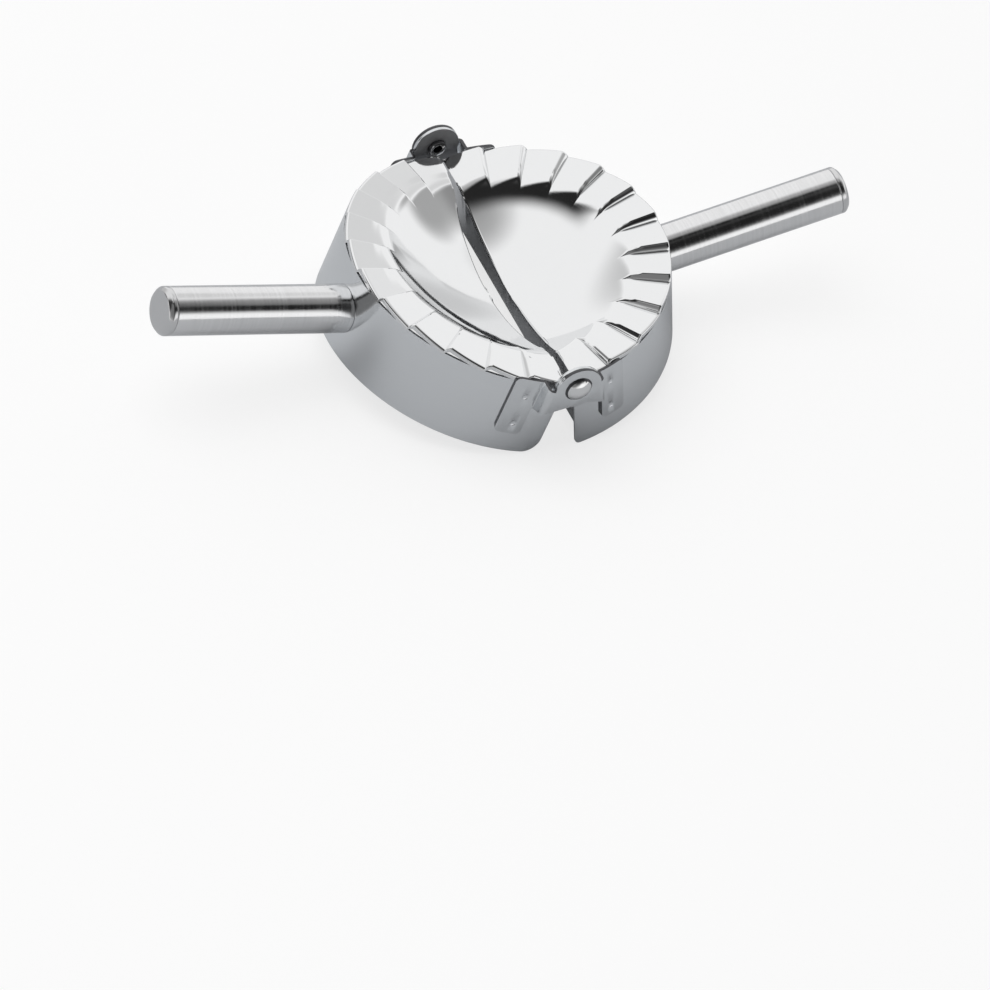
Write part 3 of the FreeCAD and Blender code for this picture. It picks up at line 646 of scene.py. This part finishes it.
if sum(face.normal.z * face.calc_area() for face in fan.faces) < 0:
    bmesh.ops.reverse_faces(fan, faces=fan.faces)
deep = fan.verts.layers.float_vector.new("inward")
fan.normal_update()
for vert in fan.verts:
    radius = math.hypot(vert.co.x, vert.co.y)
    if vert.co.x < FOLD_START - 0.01 * MM:
        vert[deep] = -vert.normal * SHEET
    elif radius < BALL_END:
        slope = 1 / math.sqrt(BALL_RADIUS ** 2 - radius ** 2)
        upward = Vector((-vert.co.x * slope, -vert.co.y * slope, 1)).normalized()
        vert[deep] = -upward * SHEET
    else:
        vert[deep] = Vector((0, 0, -SHEET * PLUMB_SHARE))
below = bmesh.ops.extrude_face_region(fan, geom=fan.faces[:], use_keep_orig=True)
for vert in (item for item in below["geom"] if isinstance(item, bmesh.types.BMVert)):
    vert.co += vert[deep]
fan.verts.layers.float_vector.remove(deep)
bmesh.ops.recalc_face_normals(fan, faces=fan.faces)
# Painted shade: the wall below the fold takes the darker parting steel.
for face in fan.faces:
    spot = face.calc_center_median()
    if spot.x < FOLD_START and spot.z < WALL_TOP and abs(face.normal.x) > 0.95:
        face.material_index = 1
finish(fan, "bowl_sheet", [bowl_steel, wall_steel],
       {"right": "right_bowl", "left": "left_bowl"}, sharp=50)

# %% [markdown]
# The skirt is a strip of sheet rolled to half a round, and its lower edge cuts
# the dough. A line is spun half way round, and its two lower corners are rounded
# the way a fitter files them: by a row of flat cuts along the curve. The back
# corner of each half has the larger round. Then the sheet gets its thickness
# and its edges are broken by a small bevel, which makes the bright hairline.

# %% Skirt
SKIRT_BOTTOM = -27.397 * MM
SKIRT_TOP = -1.792 * MM
SKIRT_ROWS = (-27.0, -22, -17, -12, -7, -2.2)
SMALL_CORNER = 1.5 * MM
LARGE_CORNER = 5.0 * MM
EDGE_BREAK = 0.14 * MM


def round_corner(shape, chosen, middle, radius, start, end, cuts):
    """Rounds a corner in the XZ plane with flat cuts; angles are in degrees."""
    turn = math.radians(end - start) / cuts
    radius *= math.cos(turn / 2)
    for index in range(cuts):
        angle = math.radians(start) + turn * (index + 0.5)
        out = Vector((math.cos(angle), 0, math.sin(angle)))
        part = list({item for face in shape.faces if chosen(face)
                     for item in (*face.verts, *face.edges, face)})
        bmesh.ops.bisect_plane(shape, geom=part, plane_co=middle + out * radius,
                               plane_no=out, clear_outer=True, dist=radius * 0.0001)


skirt = bmesh.new()
foot = skirt.verts.new((0, -RIM_RADIUS, SKIRT_BOTTOM))
upright = [foot]
for height in (*SKIRT_ROWS, SKIRT_TOP / MM):
    foot = bmesh.ops.extrude_vert_indiv(skirt, verts=[foot])["verts"][0]
    foot.co.z = height * MM
    upright.append(foot)
upright += list({edge for vert in upright for edge in vert.link_edges})
bmesh.ops.spin(skirt, geom=upright, axis=(0, 0, 1), cent=(0, 0, 0), steps=96, angle=math.pi)
for vert in skirt.verts:
    if vert.co.x < PARTING:
        vert.co.x = PARTING
        vert.co.y = math.copysign(math.sqrt(RIM_RADIUS ** 2 - PARTING ** 2), vert.co.y)
for side, radius, cuts in ((-1, SMALL_CORNER, 6), (1, LARGE_CORNER, 12)):
    middle = Vector((PARTING + radius, 0, SKIRT_BOTTOM + radius))
    round_corner(skirt, lambda face: face.calc_center_median().y * side > 0,
                 middle, radius, 180, 270, cuts)
bmesh.ops.recalc_face_normals(skirt, faces=skirt.faces)
if sum(face.normal.x for face in skirt.faces) < 0:
    bmesh.ops.reverse_faces(skirt, faces=skirt.faces)
bmesh.ops.solidify(skirt, geom=skirt.faces[:], thickness=SHEET)
bmesh.ops.recalc_face_normals(skirt, faces=skirt.faces)
crisp = [edge for edge in skirt.edges
         if edge.is_manifold and edge.calc_face_angle() > math.radians(50)]
bmesh.ops.bevel(skirt, geom=crisp, offset=EDGE_BREAK, segments=2, profile=0.5,
                affect="EDGES", clamp_overlap=True, material=-1)
reach = max(math.hypot(v.co.x, v.co.y) for v in skirt.verts)
print("skirt reaches", round(reach / MM, 3), "mm from the middle")
finish(skirt, "skirt_sheet", [skirt_steel],
       {"right": "right_skirt", "left": "left_skirt"})

# %% [markdown]
# The turned parts come next: handle tube, end cap and rivet. All are round, so
# one helper serves them. It draws half the outline as a chain of corners, lets
# the bevel tool round those corners, and spins the chain a full turn. Each
# corner has its own rounding, as on a turner's drawing.

# %% Turned parts
def turn_profile(corners, middle, axis, out, steps, closed=False):
    """Spins an outline. A corner is (along the axis, out from it, rounding), in mm."""
    shape = bmesh.new()
    middle, axis, out = Vector(middle) * MM, Vector(axis), Vector(out)
    chain = [shape.verts.new(middle + axis * along * MM + out * away * MM)
             for along, away, rounding in corners]
    for start, end in zip(chain, chain[1:]):
        shape.edges.new((start, end))
    if closed:
        shape.edges.new((chain[-1], chain[0]))
    roundings = [(vert, corner[2]) for vert, corner in zip(chain, corners) if corner[2]]
    for vert, rounding in roundings:
        bmesh.ops.bevel(shape, geom=[vert], offset=rounding * MM, segments=6, profile=0.5,
                        affect="VERTICES", clamp_overlap=True, material=-1)
    bmesh.ops.spin(shape, geom=shape.verts[:] + shape.edges[:], axis=axis, cent=middle,
                   steps=steps, angle=2 * math.pi, use_merge=True)
    bmesh.ops.remove_doubles(shape, verts=shape.verts, dist=0.002 * MM)
    bmesh.ops.recalc_face_normals(shape, faces=shape.faces)
    return shape


print("turned parts are drawn as half an outline")

# %% [markdown]
# The handle is a tube, and its cap is a drawn cup pressed into its outer end. The
# tube's foot is turned square, and then each of its points moves out to the round
# skirt, so that the foot sits on it all round.

# %% Handle tube and cap
HANDLE_MIDDLE = (0, 0, -15)
HANDLE_RADIUS = 6.998
HANDLE_END = 103.5
TUBE_INSIDE = 6.2
TUBE_RINGS = (48.73, 80)
SEAT_RADIUS = 47.53
FOOT = 46.0
FOOT_ROUND = 0.2
FOOT_EASE = 0.06
FOOT_REACH = 0.5
CAP_FACE = HANDLE_END + 2.497
CAP_FACE_RING = 2.5
CAP_CHAMFER = 1.15
CAP_ROUND = 0.35
CAP_GAP = 0.03
CAP_SLEEVE = 6.17
CAP_INSIDE = 5.37
CAP_DEPTH = 6
CAP_HOLLOW = 1.7
ROUND_STEPS = 96

tube = turn_profile(
    [(FOOT, HANDLE_RADIUS - FOOT_ROUND, 0), (FOOT + FOOT_EASE, HANDLE_RADIUS - FOOT_EASE, 0),
     (FOOT + FOOT_ROUND, HANDLE_RADIUS, 0), *[(along, HANDLE_RADIUS, 0) for along in TUBE_RINGS],
     (HANDLE_END, HANDLE_RADIUS, 0.25), (HANDLE_END, TUBE_INSIDE, 0.15),
     (FOOT, TUBE_INSIDE, 0)],
    HANDLE_MIDDLE, (1, 0, 0), (0, 0, 1), ROUND_STEPS, closed=True)
for vert in tube.verts:
    if vert.co.x < (FOOT + FOOT_REACH) * MM:
        vert.co.x += math.sqrt((SEAT_RADIUS * MM) ** 2 - vert.co.y ** 2) - FOOT * MM
finish(tube, "handle_skin", [tube_steel],
       {"right": "right_handle_tube", "left": "left_handle_tube"})

cap = turn_profile(
    [(CAP_FACE, 0, 0), (CAP_FACE, CAP_FACE_RING, 0),
     (CAP_FACE, HANDLE_RADIUS - CAP_CHAMFER, CAP_ROUND),
     (CAP_FACE - CAP_CHAMFER, HANDLE_RADIUS, CAP_ROUND),
     (HANDLE_END + CAP_GAP, HANDLE_RADIUS, 0.3), (HANDLE_END + CAP_GAP, CAP_SLEEVE, 0),
     (HANDLE_END - CAP_DEPTH, CAP_SLEEVE, 0.15), (HANDLE_END - CAP_DEPTH, CAP_INSIDE, 0.15),
     (HANDLE_END + CAP_HOLLOW, CAP_INSIDE, 0.5), (HANDLE_END + CAP_HOLLOW, 0, 0)],
    HANDLE_MIDDLE, (1, 0, 0), (0, 0, 1), ROUND_STEPS)
finish(cap, "handle_end", [cap_steel],
       {"right": "right_handle_cap", "left": "left_handle_cap"})

# %% [markdown]
# A rivet holds each hinge. It has a domed head outside and a tail that was
# rolled over inside. The spin tool turns its whole outline at once, dome and all.
# Its eye, and the rims where head and tail meet the ears, get the rough near-black
# steel: rough because polish never reaches them, and near-black as painted shade
# for the shadow in the eye and in the gaps round head and tail.

# %% Rivets
OUTER_EAR = 51.25
INNER_EAR = 50.2
LEAF_WALL = 1.0
HEAD_BASE = OUTER_EAR + LEAF_WALL + 0.03
HEAD_RADIUS = 4.1
HEAD_RISE = 2.0
DOME_RADIUS = (HEAD_RADIUS ** 2 + HEAD_RISE ** 2) / (2 * HEAD_RISE)
DOME_STEPS = 12
SHANK_RADIUS = 2.0
TAIL_FACE = INNER_EAR - 0.05
TAIL_END = TAIL_FACE - 1.0
TAIL_RADIUS = 2.8
EYE_RADIUS = 1.3
EYE_DEPTH = 2.2
EYE_DARK = 1.5
TAIL_DARK = 2.3
HEAD_DARK = 3.65

dome = []
for step in range(DOME_STEPS + 1):
    lean = math.asin(HEAD_RADIUS / DOME_RADIUS) * step / DOME_STEPS
    dome.append((HEAD_BASE + HEAD_RISE - DOME_RADIUS * (1 - math.cos(lean)),
                 DOME_RADIUS * math.sin(lean), 0))
rivet = turn_profile(
    dome + [(HEAD_BASE, HEAD_RADIUS - 0.05, 0), (HEAD_BASE, SHANK_RADIUS, 0),
            (TAIL_FACE, SHANK_RADIUS, 0), (TAIL_FACE, TAIL_RADIUS, 0),
            (TAIL_END, TAIL_RADIUS, 0.6), (TAIL_END, EYE_RADIUS, 0.3),
            (TAIL_END + EYE_DEPTH, EYE_RADIUS, 0.3), (TAIL_END + EYE_DEPTH, 0, 0)],
    (0, 0, HINGE_RISE / MM), (0, 1, 0), (0, 0, 1), 64)
# Painted shade: the eye and the outer rims of head and tail take the near-black steel.
for face in rivet.faces:
    spot = face.calc_center_median() / MM
    away = math.hypot(spot.x, spot.z - HINGE_RISE / MM)
    eye = spot.y < TAIL_END + EYE_DEPTH + 0.1 and away < EYE_DARK
    tail_rim = spot.y < TAIL_FACE and away > TAIL_DARK
    head_rim = spot.y > HEAD_BASE and away > HEAD_DARK
    if eye or tail_rim or head_rim:
        face.material_index = 1
finish(rivet, "hinge_rivet", [rivet_steel, shade_edge_steel],
       {"right": "back_rivet", "left": "front_rivet"})

# %% [markdown]
# A hinge leaf is sheared from strip and bent twice: from the plate that is spot
# welded to the skirt, out through a short wall, into the ear that takes the
# rivet. It is made here in the same order. A line is drawn as seen from above
# and its two bends are rounded. Its length gives the flat blank, which is cut to
# its outline and then bent along the line. Cutting after the bends would be
# harder, because the slanting lower edge runs through both of them.

# %% Hinge leaves: the line of the strip
EAR_RADIUS = 7.0
LEAF_START = 7.6
LEAF_END = 16.2
PLATE_STEPS = 7
EAR_BEND = 0.95
PLATE_BEND = 0.6


def strip_line(ear):
    """The strip's middle line from above: places along it, and the points there."""
    seat = SEAT_RADIUS + LEAF_WALL / 2
    line = ear + LEAF_WALL / 2
    turn_x = LEAF_START + LEAF_WALL / 2
    plate = [turn_x + (LEAF_END - turn_x) * step / PLATE_STEPS for step in range(PLATE_STEPS + 1)]
    corners = [(-EAR_RADIUS, line), (0, line), (turn_x, line)]
    corners += [(across, math.sqrt(seat ** 2 - across ** 2)) for across in plate]
    shape = bmesh.new()
    chain = [shape.verts.new((x, y, 0)) for x, y in corners]
    for start, end in zip(chain, chain[1:]):
        shape.edges.new((start, end))
    for corner, bend in ((chain[2], EAR_BEND), (chain[3], PLATE_BEND)):
        bmesh.ops.bevel(shape, geom=[corner], offset=bend, segments=5, profile=0.5,
                        affect="VERTICES", clamp_overlap=True, material=-1)
    points = sorted((vert.co.copy() for vert in shape.verts), key=lambda co: co.x - co.y)
    shape.free()
    places = [-EAR_RADIUS]
    for before, after in zip(points, points[1:]):
        places.append(places[-1] + (after - before).length)
    return places, points


def bent(place, places, points):
    """The point of the strip's line at a place along it."""
    index = max(i for i, start in enumerate(places[:-1]) if i == 0 or start <= place)
    share = (place - places[index]) / (places[index + 1] - places[index])
    return points[index].lerp(points[index + 1], share)


print("a leaf's strip is", round(strip_line(OUTER_EAR)[0][-1] + EAR_RADIUS, 1), "mm long")

# %% [markdown]
# A press tool shears the flat blank: a round ear, a slanting arm and a plate with
# three rounded corners. Flat cuts with the bisect tool follow each outline. The
# strip's parts first come apart along their seams, because a cut for one part
# would otherwise run through the next, and they are joined again at the end.

# %% Hinge leaves: the flat blank
LEAF_DEPTH = 20.2
ARM_DEPTH = 10.2
LEAF_CORNER = 1.6
HINGE_LEVEL = HINGE_RISE / MM


def leaf_blank(places, fold):
    """The flat strip, cut to its outline; X runs along the strip, in mm."""
    blank = bmesh.new()
    chain = [blank.verts.new((place, 0, -LEAF_DEPTH)) for place in places]
    edges = [blank.edges.new((start, end)) for start, end in zip(chain, chain[1:])]
    for item in bmesh.ops.extrude_edge_only(blank, edges=edges)["geom"]:
        if isinstance(item, bmesh.types.BMVert):
            item.co.z = HINGE_LEVEL + EAR_RADIUS
    ear_meet = math.sqrt(EAR_RADIUS ** 2 - HINGE_LEVEL ** 2)
    lines = (((0, 0, 0), (0, 0, 1)), ((0, 0, -ARM_DEPTH), (0, 0, 1)), ((ear_meet, 0, 0), (1, 0, 0)))
    for place, square in lines:
        whole = blank.verts[:] + blank.edges[:] + blank.faces[:]
        bmesh.ops.bisect_plane(blank, geom=whole, plane_co=place, plane_no=square, dist=0.001)

    # The ear's two sides, the arm and the plate come apart, so that each is cut alone.
    def on_line(vert):
        x, z = vert.co.x, vert.co.z
        return {name for name, gap in (("rim", abs(z) if x > -0.01 else 1), ("eye", abs(x)),
                                       ("fold", abs(x - fold))) if gap < 0.005}

    seams = [edge for edge in blank.edges if on_line(edge.verts[0]) & on_line(edge.verts[1])]
    bmesh.ops.split_edges(blank, edges=seams)

    def middle(face):
        return face.calc_center_median()

    hinge = Vector((0, 0, HINGE_LEVEL))
    round_corner(blank, lambda f: middle(f).x < 0, hinge, EAR_RADIUS, 90, 270, 28)
    round_corner(blank, lambda f: middle(f).x > 0 and middle(f).z > 0,
                 hinge, EAR_RADIUS, -12, 90, 16)
    ear_low = HINGE_LEVEL - EAR_RADIUS
    slope = math.atan2(ARM_DEPTH + ear_low, fold)
    arm = [face for face in blank.faces if 0 < middle(face).x < fold and middle(face).z < 0]
    part = list({item for face in arm for item in (*face.verts, *face.edges, face)})
    bmesh.ops.bisect_plane(blank, geom=part, plane_co=(0, 0, ear_low), dist=0.001,
                           plane_no=(-math.sin(slope), 0, -math.cos(slope)), clear_outer=True)
    far, near = places[-1] - LEAF_CORNER, fold + LEAF_CORNER
    low = LEAF_CORNER - LEAF_DEPTH
    for centre, start in (((far, 0, -LEAF_CORNER), 0), ((far, 0, low), 270), ((near, 0, low), 180)):
        round_corner(blank, lambda f: middle(f).x > fold, Vector(centre), LEAF_CORNER,
                     start, start + 90, 6)
    bmesh.ops.remove_doubles(blank, verts=blank.verts, dist=0.03)
    return blank


print("a blank is", round(LEAF_DEPTH + HINGE_LEVEL + EAR_RADIUS, 1), "mm high")

# %% [markdown]
# A bore through a bent sheet is best made with the boolean tool, which meets the
# curved faces cleanly. It works as a modifier on an object, so two helper objects
# stand in for a moment and go away again.

# %% Hinge leaves: the drill
def carve(shape, tool):
    """Cuts one closed shape out of another with the boolean tool, and frees both."""
    objects = []
    for name, body in (("carved", shape), ("carving_tool", tool)):
        mesh = bpy.data.meshes.new(name)
        body.to_mesh(mesh)
        body.free()
        made = bpy.data.objects.new(name, mesh)
        bpy.context.scene.collection.objects.link(made)
        objects.append(made)
    boolean = objects[0].modifiers.new("carve", "BOOLEAN")
    boolean.operation = "DIFFERENCE"
    boolean.solver = "EXACT"
    boolean.object = objects[1]
    ready = objects[0].evaluated_get(bpy.context.evaluated_depsgraph_get())
    result = bmesh.new()
    result.from_mesh(ready.to_mesh())
    for made in objects:
        mesh = made.data
        bpy.data.objects.remove(made)
        bpy.data.meshes.remove(mesh)
    return result


print("the drill leaves", len(pieces_made), "finished pieces as they are")

# %% [markdown]
# The blank is now bent along its line, given its thickness and drilled for the
# rivet, and two shallow dips are pressed where it is spot welded. A dip is a
# ball's cap, cut with the same tool. The bevel tool breaks the edges last.

# %% Hinge leaves: bend, drill and weld
WELDS = (-6.2, -16.2)
WELD_DIP = 0.3
WELD_BALL = 1.9
LEAF_EDGE_BREAK = 0.12
FREE_BORE = 2.05
TIGHT_BORE = 2.03


def hinge_leaf(side, ear, bore):
    """A leaf at the front (side -1) or the back (side 1) end of the flat half."""
    places, points = strip_line(ear)
    fold = next(place for place, point in zip(places, points)
                if point.x > LEAF_START + LEAF_WALL / 2 + PLATE_BEND - 0.01)
    leaf = leaf_blank(places, fold)
    for vert in leaf.verts:
        spot = bent(vert.co.x, places, points)
        vert.co = Vector((spot.x, side * spot.y, vert.co.z)) * MM
    bmesh.ops.recalc_face_normals(leaf, faces=leaf.faces)
    if sum(face.normal.y * side * face.calc_area() for face in leaf.faces) < 0:
        bmesh.ops.reverse_faces(leaf, faces=leaf.faces)
    leaf.normal_update()
    for vert in leaf.verts:
        vert.co += vert.normal * LEAF_WALL / 2 * MM
    bmesh.ops.solidify(leaf, geom=leaf.faces[:], thickness=LEAF_WALL * MM)
    bmesh.ops.recalc_face_normals(leaf, faces=leaf.faces)

    drill = bmesh.new()
    bmesh.ops.create_cone(drill, cap_ends=True, segments=64, radius1=bore * MM,
                          radius2=bore * MM, depth=20 * MM)
    aim = Matrix.Translation((0, side * ear * MM, HINGE_LEVEL * MM))
    bmesh.ops.transform(drill, matrix=aim @ Matrix.Rotation(math.pi / 2, 4, "X"),
                        verts=drill.verts)
    leaf = carve(leaf, drill)
    surface = SEAT_RADIUS + LEAF_WALL
    across = (LEAF_START + LEAF_END) / 2
    out = (surface + WELD_BALL - WELD_DIP) / surface
    for depth in WELDS:
        place = Vector((across * out, side * math.sqrt(surface ** 2 - across ** 2) * out, depth))
        ball = bmesh.new()
        bmesh.ops.create_uvsphere(ball, u_segments=96, v_segments=48, radius=WELD_BALL * MM)
        bmesh.ops.translate(ball, verts=ball.verts, vec=place * MM)
        leaf = carve(leaf, ball)
    crisp = [edge for edge in leaf.edges
             if edge.is_manifold and edge.calc_face_angle() > math.radians(60)]
    bmesh.ops.bevel(leaf, geom=crisp, offset=LEAF_EDGE_BREAK * MM, segments=2, profile=0.5,
                    affect="EDGES", clamp_overlap=True, material=-1)
    return leaf


inner_leaf = hinge_leaf(-1, INNER_EAR, FREE_BORE)
outer_leaf = hinge_leaf(1, OUTER_EAR, TIGHT_BORE)
print("leaves have", len(inner_leaf.faces), "and", len(outer_leaf.faces), "faces")

# %% [markdown]
# Sheared edges and the inner faces of the ears were never polished, so their
# steels are rough, and their darker colour is painted shade: the shadow in the
# gaps beside the edges and the shade inside the ears. The photograph shows them
# as dark lines round the plates and a dark disc at the back. A face's place and
# the way it looks tell which steel it gets, so no edge is picked by hand.

# %% Hinge leaves: the darker edges
LEAF_STEELS = [leaf_steel, shade_edge_steel, dull_shade_steel]
EAR_REACH = 6.5
WALL_SPAN = (7, 9.2)
WALL_DARK_TOP = -5.5


def darken(leaf, side):
    """Gives a leaf's sheared edges and its ear's inner face their darker steels, which paint their
    shade.
    """
    # Painted shade: the plate's far end, the lower part of the bent wall and the rims get the
    # near-black steel, on the outer leaf also round the ear, and the ear's inner face gets the dark
    # grey steel.
    for face in leaf.faces:
        spot, square = face.calc_center_median() / MM, face.normal
        radial = Vector((spot.x, spot.y, 0)).normalized()
        end = spot.x > LEAF_END - 0.3 and abs(square.dot(radial)) < 0.5
        wall = WALL_SPAN[0] < spot.x < WALL_SPAN[1] and abs(square.x) > 0.8
        rim = abs(square.z) > 0.5 or (spot.x < -2 and abs(square.y) < 0.5)
        if end or (wall and spot.z < WALL_DARK_TOP):
            face.material_index = 1
        elif rim and (side > 0 or spot.x > EAR_REACH):
            face.material_index = 1
        elif spot.x < EAR_REACH and square.y * side < -0.9:
            face.material_index = 2


darken(inner_leaf, -1)
darken(outer_leaf, 1)
finish(inner_leaf, "inner_leaf", LEAF_STEELS,
       {"right": "right_front_hinge_leaf", "left": "left_back_hinge_leaf"})
finish(outer_leaf, "outer_leaf", LEAF_STEELS,
       {"right": "right_back_hinge_leaf", "left": "left_front_hinge_leaf"})

# %% [markdown]
# Plugs, screws and washers sit inside the handles and under the bowls. Their
# solids already have the right shape, so they stay, and only their steel is new.

# %% Hidden hardware
for name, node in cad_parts.items():
    if name.endswith(("_plug", "_screw", "_washer")):
        node.data.materials.clear()
        node.data.materials.append(hidden_steel)
print("pieces:", len(pieces_made), "new,", len(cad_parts) - len(pieces_made), "kept")
